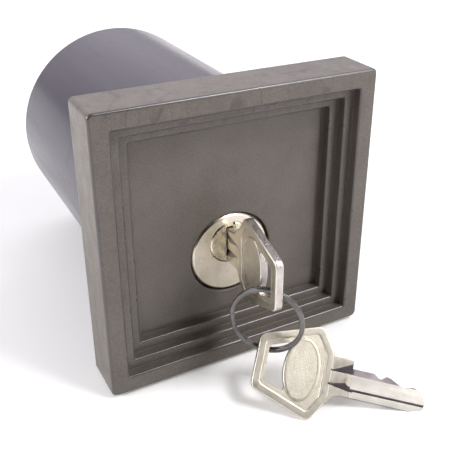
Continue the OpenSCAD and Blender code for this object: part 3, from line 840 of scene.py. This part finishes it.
head_profile = [
    (0, HEAD_FRONT + 0.25), (8, HEAD_FRONT + 0.22), (HEAD_R - 0.7, HEAD_FRONT),
    (HEAD_R, HEAD_FRONT + 0.7), (HEAD_R, HEAD_BACK), (0, HEAD_BACK),
]
shell = turned("lock_body", softened(head_profile, [0, 3, 0.25, 0.3, 0.2, 0]), 0, HEAD_Z, ROUND)
barrel = threaded(
    "barrel", BARREL_R, 0.4, 1.25, HEAD_BACK - 0.6, SHELL_END, 0, HEAD_Z, BARREL_FLAT, 96, 0.9
)
combine(shell, barrel, "UNION")
mouth, face_seat, face_end = PLUG_FACE_R + 0.14, PLUG_FACE_R + 0.06, HEAD_FRONT + FACE_THICK
bore_profile = [
    (0, HEAD_FRONT - 1), (mouth, HEAD_FRONT - 1), (mouth, HEAD_FRONT + 0.3),
    (face_seat, HEAD_FRONT + 0.4), (face_seat, face_end), (6.5, face_end),
    (6.5, SHELL_END + 1), (0, SHELL_END + 1),
]
combine(shell, turned("plug_bore", bore_profile, 0, PLUG_Z, 96))
sector = [Vector((0, PLUG_Z))]
sector += [Vector((9.4 * math.cos(a), PLUG_Z + 9.4 * math.sin(a))) for a in STOP_ANGLES]
combine(shell, across("stop_sector", [sector], SHELL_END - 1.4, SHELL_END + 1))


def upright_holes(name, length, z):
    """Round cutters along Z, one for each pin, about height z."""
    return [
        slab(name, [circle(CHAMBER_R, 0, 0, 24)], length, matrix=Matrix.Translation((0, y, z)))
        for y in PIN_Y
    ]


combine(shell, upright_holes("chamber", 30, PLUG_Z - 15))
install(shell, "lock_shell", "lock_nickel", head_nickel)

low, high = span("lock_washer", 1)
shim = washer("lock_shim", BARREL_R + BARREL_GAP, 16, low, high, 0.2, HEAD_Z)
install(shim, "lock_washer", *ZINC)


def hex_nut(name, flats, bore, y0, y1, x, z):
    """Hexagon nut with chamfered corners and a countersunk bore."""
    outer = flats / math.sqrt(3)
    chamfer = (outer - flats / 2) * math.tan(math.radians(30)) * 1.2
    nut = across(name, [circle(outer, x, z, 6)], y0, y1)
    face, rim = flats / 2 - 0.1, outer + 0.01
    dome = [(0, y0), (face, y0), (rim, y0 + chamfer), (rim, y1 - chamfer), (face, y1), (0, y1)]
    combine(nut, turned("dome", dome, x, z, 96), "INTERSECT")
    sink = bore * 0.06 + 0.12
    mouth = bore + sink + 1
    hole = [
        (0, y0 - 1), (mouth, y0 - 1), (bore, y0 + sink),
        (bore, y1 - sink), (mouth, y1 + 1), (0, y1 + 1),
    ]
    return combine(nut, turned("hole", hole, x, z, 64))


low, high = span("lock_nut", 1)
nut = hex_nut("lock_hex", 29, 12.02, low, high, 0, HEAD_Z)
install(nut, "lock_nut", "lock_nickel", head_nickel)

low, high = span("pin_springs", 2)
springs = [coil("spring", 1.05, 0.2, low, high, 5, 0, y) for y in PIN_Y]
install(join(*springs), "pin_springs", "spring_steel", spring_steel, weighted=False)
for node in ("driver_pins", "chamber_caps", "key_pins"):
    frame["nodes"][node].data.materials.clear()
    frame["nodes"][node].data.materials.append(pin_brass)

TAIL_END = span("lock_plug", 1)[1]
KEY_FRONT, KEY_TIP = span("key", 1)
plug_profile = [
    (0, HEAD_FRONT), (6.5, HEAD_FRONT), (PLUG_FACE_R, HEAD_FRONT + 0.4),
    (PLUG_FACE_R, HEAD_FRONT + 1.05), (6.45, HEAD_FRONT + 1.05), (6.45, SHELL_END), (0, SHELL_END),
]
plug = turned("key_plug", softened(plug_profile, [0, 0.3, 0.2, 0, 0, 0.1, 0]), 0, PLUG_Z, 96)
tail = softened(rectangle(-3.3, PLUG_Z - 3.3, 3.3, PLUG_Z + 3.3), 0.5, 3)
combine(plug, across("tail", [tail], SHELL_END - 1, TAIL_END, 0.2), "UNION")
# the keyway is an upright slot, a little wider where it meets the plug's face
keyway = [(-1.2, -4.3), (1.2, -4.3), (1.2, 5.5), (-1.2, 5.5)]
lead = [Vector((x * 1.45, PLUG_Z + z * 1.06)) for x, z in keyway]
keyway = [Vector((x, PLUG_Z + z)) for x, z in keyway]
keyway = [
    across("keyway", [keyway], HEAD_FRONT - 1, KEY_TIP + 0.6),
    across("lead", [lead], HEAD_FRONT - 1, HEAD_FRONT + 0.35),
]
pin_holes = upright_holes("pin_hole", 5.45, PLUG_Z - 4.72)
screw_hole = peg("screw_hole", 2.02, SHELL_END - 1, TAIL_END + 1, 0, PLUG_Z, 32)
# the notch at the top of the plug's face
notch = rectangle(-1.7, PLUG_Z + 6.0, 1.7, PLUG_Z + 8.0)
notch = across("index_notch", [notch], HEAD_FRONT - 1, HEAD_FRONT + 0.7)
for cutters in (keyway, pin_holes, screw_hole, notch):
    combine(plug, cutters)
install(plug, "lock_plug", "plug_nickel", plug_nickel)

low, high = span("stop_washer", 1)
tail_loop = rectangle(-3.35, PLUG_Z - 3.35, 3.35, PLUG_Z + 3.35)
stop = across("stop_disc", [circle(7.5, 0, PLUG_Z, 72), tail_loop], low + 1.2, high, 0.15)
TAB = math.radians(16)
tab = [(6.9, -TAB)] + [(9.0, -TAB + TAB * i / 4) for i in range(9)] + [(6.9, TAB)]
tab = [Vector((r * math.cos(a), PLUG_Z + r * math.sin(a))) for r, a in tab]
combine(stop, across("stop_tab", [tab], low, high - 0.1, 0.1), "UNION")
install(stop, "stop_washer", *ZINC)

low, high = span("cam", 1)
CAM_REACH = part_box("cam")[1].x / MM
cam_outline = [
    (-2.0, -7.5), (3.0, -7.5), (9.5, -5.9), (CAM_REACH, -5.0), (CAM_REACH, 5.0),
    (9.5, 5.9), (3.0, 7.5), (-2.0, 7.5), (-7.5, 3.0), (-7.5, -3.0),
]
cam_outline = softened(cam_outline, [3.5, 4, 4, 1.6, 1.6, 4, 4, 3.5, 3.5, 3.5])
cam_outline = [Vector((p.x, p.y + PLUG_Z)) for p in cam_outline]
cam = across("lock_cam", [cam_outline, tail_loop], low, high, 0.35)
install(cam, "cam", *ZINC)
low, high = span("cam_washer", 1)
shim = washer("cam_shim", 2.15, 6, low, high, 0.15, PLUG_Z, 72)
install(shim, "cam_washer", *ZINC)
low, high = span("cam_screw", 1)
screw = pan_screw("cam_fixing", 0, PLUG_Z, 2.0, 3.8, high - 2.4, 2.4, low, 2.8, (2.0, 0.4, 1.4))
install(screw, "cam_screw", *ZINC)

# -------------------- bait

low, high = span("bait_rod", 1)
rod = threaded("bait_spindle", 2.0, 0.34, 0.7, low, high, 0, ROD_Z, None, 32, 0.7)
install(rod, "bait_rod", *ZINC, smooth=60.0, weighted=False)
NUT_ROWS = [(PLATE_Y - 3.6, PLATE_Y - 0.8), (PLATE_BACK + 0.8, PLATE_BACK + 4.0), (26.0, 29.2)]
nuts = [hex_nut("rod_hex", 7, 2.02, y0, y1, 0, ROD_Z) for y0, y1 in NUT_ROWS]
install(join(*nuts), "rod_nuts", *ZINC)
BLOCK_START = span("bait_block_1", 1)[0]
BLOCK_END = span("bait_block_3", 1)[1]
shims = [
    washer("rod_shim", 2.15, 4.5, y, y + 0.8, 0.15, ROD_Z, 64)
    for y in (PLATE_Y - 0.8, PLATE_BACK, BLOCK_START - 0.8, BLOCK_END)
]
install(join(*shims), "rod_washers", *ZINC)


def block_outline(half):
    """The block's outline with a groove at each quarter of a side, in short steps."""
    notch = 1.13
    quarter = half / 2
    side = [
        (-half, 0), (-quarter - notch, 0), (-quarter, notch), (-quarter + notch, 0),
        (quarter - notch, 0), (quarter, notch), (quarter + notch, 0),
    ]
    outline = []
    for turn in range(4):
        spin = Matrix.Rotation(math.pi / 2 * turn, 2)
        outline += [spin @ Vector((x, -half + depth)) for x, depth in side]
    outline = softened(outline, [1.3, 0.4, 0.4, 0.4, 0.4, 0.4, 0.4] * 4, 4)
    fine = []
    for p, q in zip(outline, outline[1:] + outline[:1]):
        pieces = max(1, round((q - p).length / 0.8))
        fine += [p.lerp(q, k / pieces) for k in range(pieces)]
    return fine


def bait_block(node, seed):
    """A pressed wax block: grooved sides, rounded and slightly chipped edges, a hole."""
    y0, y1 = span(node, 1)
    long = y1 - y0
    half = (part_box(node)[1].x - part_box(node)[0].x) / MM / 2
    edge = 0.9
    arc = [math.pi / 2 * k / 4 for k in range(4, -1, -1)]
    near = [(edge * (1 - math.cos(t)), edge * (1 - math.sin(t))) for t in arc]
    sides = [(0.0, edge + (long - 2 * edge) * k / 18) for k in range(1, 18)]
    rows = near + sides + [(d, long - y) for d, y in reversed(near)]
    bm = bmesh.new()
    edges = {0: [], 1: []}
    for loop, soft in ((block_outline(half), 1.0), (circle(2.5, 0, 0, 40)[::-1], 0.4)):
        rings = [
            [bm.verts.new((p.x, y0 + y, ROD_Z + p.y)) for p in moved_in(loop, d * soft)]
            for d, y in rows
        ]
        skin(bm, rings, False)
        edges[0] += loop_edges(bm, rings[0])
        edges[1] += loop_edges(bm, rings[-1])
    for end in edges.values():
        bmesh.ops.triangle_fill(bm, use_beauty=True, use_dissolve=False, edges=end)
    bmesh.ops.recalc_face_normals(bm, faces=bm.faces)
    bm.normal_update()
    for v in bm.verts:
        lump = 0.5 + 0.5 * noise.noise(v.co * 0.45 + Vector((seed * 17.0, 0, 0)))
        chip = max(0.0, noise.noise(v.co * 0.9 + Vector((0, seed * 9.0, 4))) - 0.25)
        if y0 + 0.05 < v.co.y < y1 - 0.05:
            v.co -= v.normal * (0.16 * lump + 0.5 * chip)
    return as_object(node.replace("bait_block", "wax_block"), bm)


for number, node in enumerate(("bait_block_1", "bait_block_2", "bait_block_3"), 1):
    wax_block = bait_block(node, number)
    install(wax_block, node, "bait_wax", bait_wax, smooth=50.0, weighted=False)

low, high = span("wing_nut", 1)
WING_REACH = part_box("wing_nut")[1].x / MM
hub = [(0, low), (4.4, low), (4.2, low + 1.4), (3.5, low + 5), (0, low + 5)]
wing = turned("thumb_nut", softened(hub, [0, 0.2, 0.4, 0.5, 0]), 0, ROD_Z, 64)
ear = [
    (2.4, low + 1.2), (4.2, low + 1.4), (WING_REACH - 1.6, low + 3.2), (WING_REACH, low + 6.0),
    (WING_REACH - 1.4, high), (WING_REACH - 4.0, high), (4.0, low + 4.8), (2.4, low + 4.4),
]
ear = softened(ear, [0.2, 1, 2.2, 1.6, 1.6, 1.4, 1.5, 0.2])
for side in (-1, 1):
    loop = [Vector((p.x * side, p.y)) for p in ear]
    combine(wing, slab("ear", [loop], 1.7, 0.45, ROD_Z), "UNION")
combine(wing, peg("wing_bore", 2.02, low - 1, high + 2, 0, ROD_Z, 40))
install(wing, "wing_nut", *ZINC)

# -------------------- keys

KEY_LENGTH = KEY_TIP - KEY_FRONT
PLATE_HALF = 0.95  # half the thickness of the bow's sunk field
RIM_THICK = 2.6
DISH_HALF = 1.14  # half the thickness inside the oval boss
BLADE_START = 29.9
SHANK_START = 22.8
BOW = [(0, -8), (18.8, -14.5), (23.8, -6.6), (23.8, 6.6), (18.8, 14.5), (0, 8)]
WINDOW = [(3.4, -5.2), (10, -7.6), (10, 7.6), (3.4, 5.2)]
SHANK = [
    (20.8, -9.0), (23.4, -8.2), (25.2, -5.7), (27.6, -5.25), (30.0, -5.2),
    (30.0, 6.4), (24.6, 6.5), (20.8, 7.0),
]
BITTING = [
    (37, 3.7), (38.8, 2.5), (39.8, 2.5), (41.2, 3.6), (42.6, 3.3), (44.8, 2.2),
    (46.6, 1.4), (47.4, 1.4), (49.4, 2.1), (50.6, 2.1), (52, 1.1), (53.4, -0.6),
]
# the run-outs' stations, for furrow; 1.2 is the shank's surface
RUNOUTS = (
    [(23.2, 1.8, 0.05, 1.2, 0.02), (29.9, 3.35, 1.65, 1.2, 0.8), (30.8, 3.4, 1.7, 1.2, 0.85)],
    [(22.9, -2.3, 0.05, 1.2, 0.02), (28.2, -2.1, 1.15, 1.2, 0.6), (30.8, -2.75, 0.7, 1.2, 0.5)],
)
KEY_FINISHES = (key_polished, key_cast, key_milled, key_edge_stipple_and_shade, key_cut_shade)
POLISHED, CAST, MILLED, EDGE_SHADE, CUT_SHADE = range(5)


def furrow(name, stations, lean=0.0):
    """Cutter with a V section along X. A station is (x, middle, half width, top, depth).
    lean moves the bottom of the V towards -Y, by that share of the half width."""
    bm = bmesh.new()
    rings = []
    for x, y, half, top, depth in stations:
        slope = half / depth
        rise = 1.5
        wide, steep = (1 + lean) * slope * rise, (1 - lean) * slope * rise
        bottom = (y - lean * half, top - depth)
        points = [bottom, (y + half + wide, top + rise), (y - half - steep, top + rise)]
        rings.append([bm.verts.new((x, *p)) for p in points])
    skin_with_ends(bm, rings)
    return as_object(name, bm)


def key_finish(face):
    """Which finish a face of the key has, from where it is and how level it lies. Slanting cuts
    and grooves get painted shade; the side faces get real stippled grain under a darker tone of
    painted shade.
    """
    x, _, n = face.center
    level = abs(face.normal.z)
    on_blade = x > BLADE_START
    on_land = on_blade and 0.3 < n < 0.6
    slanting = level < 0.98 and (on_blade or x > SHANK_START and level > 0.3)
    if on_land or slanting:
        # slanting cuts and grooves get painted shade
        return CUT_SHADE
    if on_blade:
        return MILLED
    if level < 0.3:
        # side faces: real stippled grain under painted shade
        return EDGE_SHADE
    on_field = abs(abs(n) - PLATE_HALF) < 0.02 and x < 23.5
    in_dish = abs(abs(n) - DISH_HALF) < 0.03 and level > 0.9 and x < 20.5
    return CAST if on_field or in_dish else POLISHED


def build_key(name):
    """A cast and milled key, drawn with X from the end bar to the tip, Y towards the cuts."""
    bow = softened(BOW, 2.4)
    inner = softened(moved_in([Vector(p) for p in BOW], 2.4), 1.2)
    key = slab(name, [bow], 2 * PLATE_HALF, 0.2)
    combine(key, slab("rim", [bow, inner], RIM_THICK, 0.45, steps=5), "UNION")
    combine(key, slab("window", [softened(WINDOW, [1.3, 0.8, 0.8, 1.3])], 6))
    boss = slab("boss", [oval(14.4, 5.6, 9.6)], RIM_THICK - 0.06, 0.35, steps=5)
    for side in (-1, 1):
        height = side * (RIM_THICK / 2 - 0.03 + 0.37)
        combine(boss, slab("dish", [oval(14.4, 4.7, 8.7)], 1.0, 0.0, height))
    combine(key, boss, "UNION")
    shank = softened(SHANK, [0.3, 0.6, 1.8, 1.6, 0.25, 0.5, 0.6, 0.3])
    combine(key, slab("shank", [shank], 2.4, 0.25, steps=5), "UNION")
    tip = [(KEY_LENGTH - 2.4, -5.2), (KEY_LENGTH - 0.4, -3.4), (KEY_LENGTH, -2.2)]
    blade = [(29.0, -5.2), *tip, *BITTING[::-1], (29.0, 3.7)]
    blade = softened(blade, [0, 0.6, 0.5, 0.4] + [0.25] * len(BITTING) + [0], 3)
    combine(key, slab("blade", [blade], 2.0, 0.12), "UNION")
    # run-outs of the milling cutter in the shank, then the milled land and the blade's grooves
    combine(key, [furrow("runout", stations, 0.8) for stations in RUNOUTS])
    start, end = 30.1, KEY_LENGTH + 1
    land = bmesh.new()
    section = ((1.7, 0.52), (4.6, 0.36), (4.6, 2.0), (1.7, 2.0))
    skin_with_ends(land, [[land.verts.new((x, *p)) for p in section] for x in (start, end)])
    combine(key, as_object("land", land))
    groove = [(x, -2.75, 0.36, 1.0, 0.4) for x in (start, end)]
    combine(key, furrow("groove", groove))
    combine(key, slab("rear_groove", [rectangle(24.8, -0.9, end, 0.3)], 2.0, 0.0, -1.5))
    for material in KEY_FINISHES:
        key.data.materials.append(material)
    for face in key.data.polygons:
        face.material_index = key_finish(face)
    key.data.transform(Matrix.Scale(MM, 4))
    return key


def place(obj, turn, node):
    """Turns obj's mesh, then moves it so that its box and the CAD node's box share one centre."""
    drawn = obj.data.attributes.new("drawn", "FLOAT_VECTOR", "POINT")
    for vertex, stored in zip(obj.data.vertices, drawn.data):
        stored.vector = vertex.co
    obj.data.transform(turn.to_4x4())
    corners = [v.co for v in obj.data.vertices]
    low = Vector([min(c[i] for c in corners) for i in range(3)])
    high = Vector([max(c[i] for c in corners) for i in range(3)])
    obj.data.transform(Matrix.Translation(middle(node) * MM - (low + high) / 2))


def degrees(*angles):
    return Euler([math.radians(a) for a in angles], "XYZ").to_matrix()


KEY_TURNS = (
    ("lock_key", "key", (-90, 0, 90)),
    ("second_key", "spare_key", (46.5, 14, -31)),
)
for name, node, turn in KEY_TURNS:
    key = build_key(name)
    place(key, degrees(*turn), node)
    install(key, node, "key_nickel", scaled=False, smooth=20.0)

# -------------------- split ring


def build_ring(name):
    """Two turns of flat wire, which steps from one layer to the other past its two ends."""
    radius = 10.95
    wide, thick = 1.36, 0.78
    layer_height = 0.42
    step_angle = math.radians(34)
    taper_angle = 0.06
    count = 260
    bm = bmesh.new()
    section = softened(rectangle(-wide / 2, -thick / 2, wide / 2, thick / 2), 0.3, 3)
    start, end = step_angle / 2 + 0.03, 2 * math.tau - step_angle / 2 - 0.03
    rings = []
    for k in range(count + 1):
        a = start + (end - start) * k / count
        t = max(0.0, min(1.0, (a - math.tau) / step_angle + 0.5))
        layer = -layer_height + 2 * layer_height * t * t * (3 - 2 * t)
        near = min(a - start, end - a) / taper_angle
        taper = 0.55 + 0.45 * min(1.0, near) ** 0.5 if near < 1 else 1.0
        ring = []
        for p in section:
            r = radius + p.x * taper
            ring.append(bm.verts.new((r * math.cos(a), r * math.sin(a), layer + p.y * taper)))
        rings.append(ring)
    skin_with_ends(bm, rings)
    return as_object(name, bm)


ring = build_ring("key_ring")
ring.data.transform(Matrix.Scale(MM, 4))
place(ring, degrees(1, 3.5, -45) @ degrees(90, 0, 0) @ degrees(0, 0, 200), "split_ring")
install(ring, "split_ring", "key_nickel", ring_steel, scaled=False)

# -------------------- stage

# from, to, strength at from, strength at to: along Y, along X, and the share of both along Z
BACK_GLOW = (-0.2, 0.9, 0.0, 1.0)
RIGHT_GLOW = (-0.3, 0.9, 0.0, 0.4)
HEIGHT_GLOW = (0.0, 0.5, 0.25, 1.4)
FLOOR_TILT = 0.0723  # the station leans back on its flange's lower edge and the tube's end
FLOOR_REACH = 3.0
# from, to in metres from the station, strength at from, strength at to
FLOOR_GLOW = (0.3, 1.4, 0.12, 0.75)


def build_floor():
    bm = bmesh.new()
    low = -HALF * MM
    corners = rectangle(-FLOOR_REACH, -FLOOR_REACH, FLOOR_REACH, FLOOR_REACH)
    bm.faces.new([bm.verts.new((p.x, p.y, low + FLOOR_TILT * p.y)) for p in corners])
    mesh = bpy.data.meshes.new("floor")
    bm.to_mesh(mesh)
    bm.free()
    obj = link("floor", mesh)
    net = Net("floor_paper", Emission_Color=(1, 0.975, 0.95, 1))
    distance = net.node("VectorMath", operation="LENGTH")
    net.feed(distance.inputs[0], net.place)
    glow = net.remap(distance.outputs["Value"], *FLOOR_GLOW)
    net.feed(net.shader.inputs["Emission Strength"], glow)
    cloud = net.remap(net.noise(40, 3), 0.3, 0.7, 0, 1)
    tone = net.mix(cloud, (0.86, 0.86, 0.86), (0.9, 0.9, 0.9))
    roughness = net.remap(net.noise(9, 3), 0.3, 0.7, 0.85, 0.95)
    net.finish(tone, roughness, net.bump(net.noise(1, 3), 0.01))
    obj.data.materials.append(net.material)


def add_light(name, place, aim, size, power):
    data = bpy.data.lights.new(name, "AREA")
    data.shape = "RECTANGLE"
    data.size, data.size_y = size
    data.energy = power
    obj = link(name, data)
    obj.location = place
    obj.rotation_euler = (Vector(aim) - Vector(place)).to_track_quat("-Z", "Y").to_euler()


def build_world():
    """White to look at. As light it is bright above, behind and to the right of the station."""
    world = bpy.data.worlds.new("studio")
    bpy.context.scene.world = world
    world.use_nodes = True
    tree = world.node_tree

    def add(kind, *inputs, **settings):
        node = tree.nodes.new("ShaderNode" + kind)
        for name, value in settings.items():
            setattr(node, name, value)
        for socket, value in zip(node.inputs, inputs):
            if isinstance(value, bpy.types.NodeSocket):
                tree.links.new(value, socket)
            else:
                socket.default_value = value
        return node.outputs

    split = add("SeparateXYZ", add("TexCoord")["Generated"])
    back = add("MapRange", split[1], *BACK_GLOW)
    right = add("MapRange", split[0], *RIGHT_GLOW)
    height = add("MapRange", split[2], *HEIGHT_GLOW)
    level = add("Math", back[0], right[0], operation="ADD")
    strength = add("Math", level[0], height[0], operation="MULTIPLY")
    lit = add("Background", (0.965, 0.93, 1, 1), strength[0])
    seen = add("Background", (1, 1, 1, 1), 1.0)
    both = add("MixShader", add("LightPath")["Is Camera Ray"], lit[0], seen[0])
    tree.links.new(both[0], tree.nodes["World Output"].inputs[0])


def build_camera():
    """The photograph's viewpoint, in the object's frame."""
    forward = Vector((0.4454, 0.7713, -0.4546)).normalized()
    right = Vector((0.8658, -0.5, 0.0195))
    right = (right - right.dot(forward) * forward).normalized()
    up = right.cross(forward)
    data = bpy.data.cameras.new("camera")
    data.sensor_width = 36
    data.lens = 58.42
    data.shift_x = -0.0738
    data.shift_y = -0.042
    data.clip_start, data.clip_end = 0.01, 20
    obj = link("camera", data)
    turn = Matrix((right, up, -forward)).transposed().to_4x4()
    obj.matrix_world = Matrix.Translation(Vector((-92.7, -183.8, 107.2)) * MM) @ turn
    bpy.context.scene.camera = obj


build_floor()
build_world()
build_camera()
add_light("left_panel", (-0.75, 0.1, 0.35), (0, 0, 0), (0.5, 0.4), 4.8)
add_light("front_top", (0.38, -0.42, 0.72), (0, -0.02, 0), (0.3, 0.2), 4.1)
add_light("front_right", (0.55, -0.55, 0.3), (0, -0.01, 0), (0.5, 0.4), 2.2)
bpy.context.scene.view_settings.view_transform = "Standard"
bpy.context.scene.view_settings.look = "Medium High Contrast"
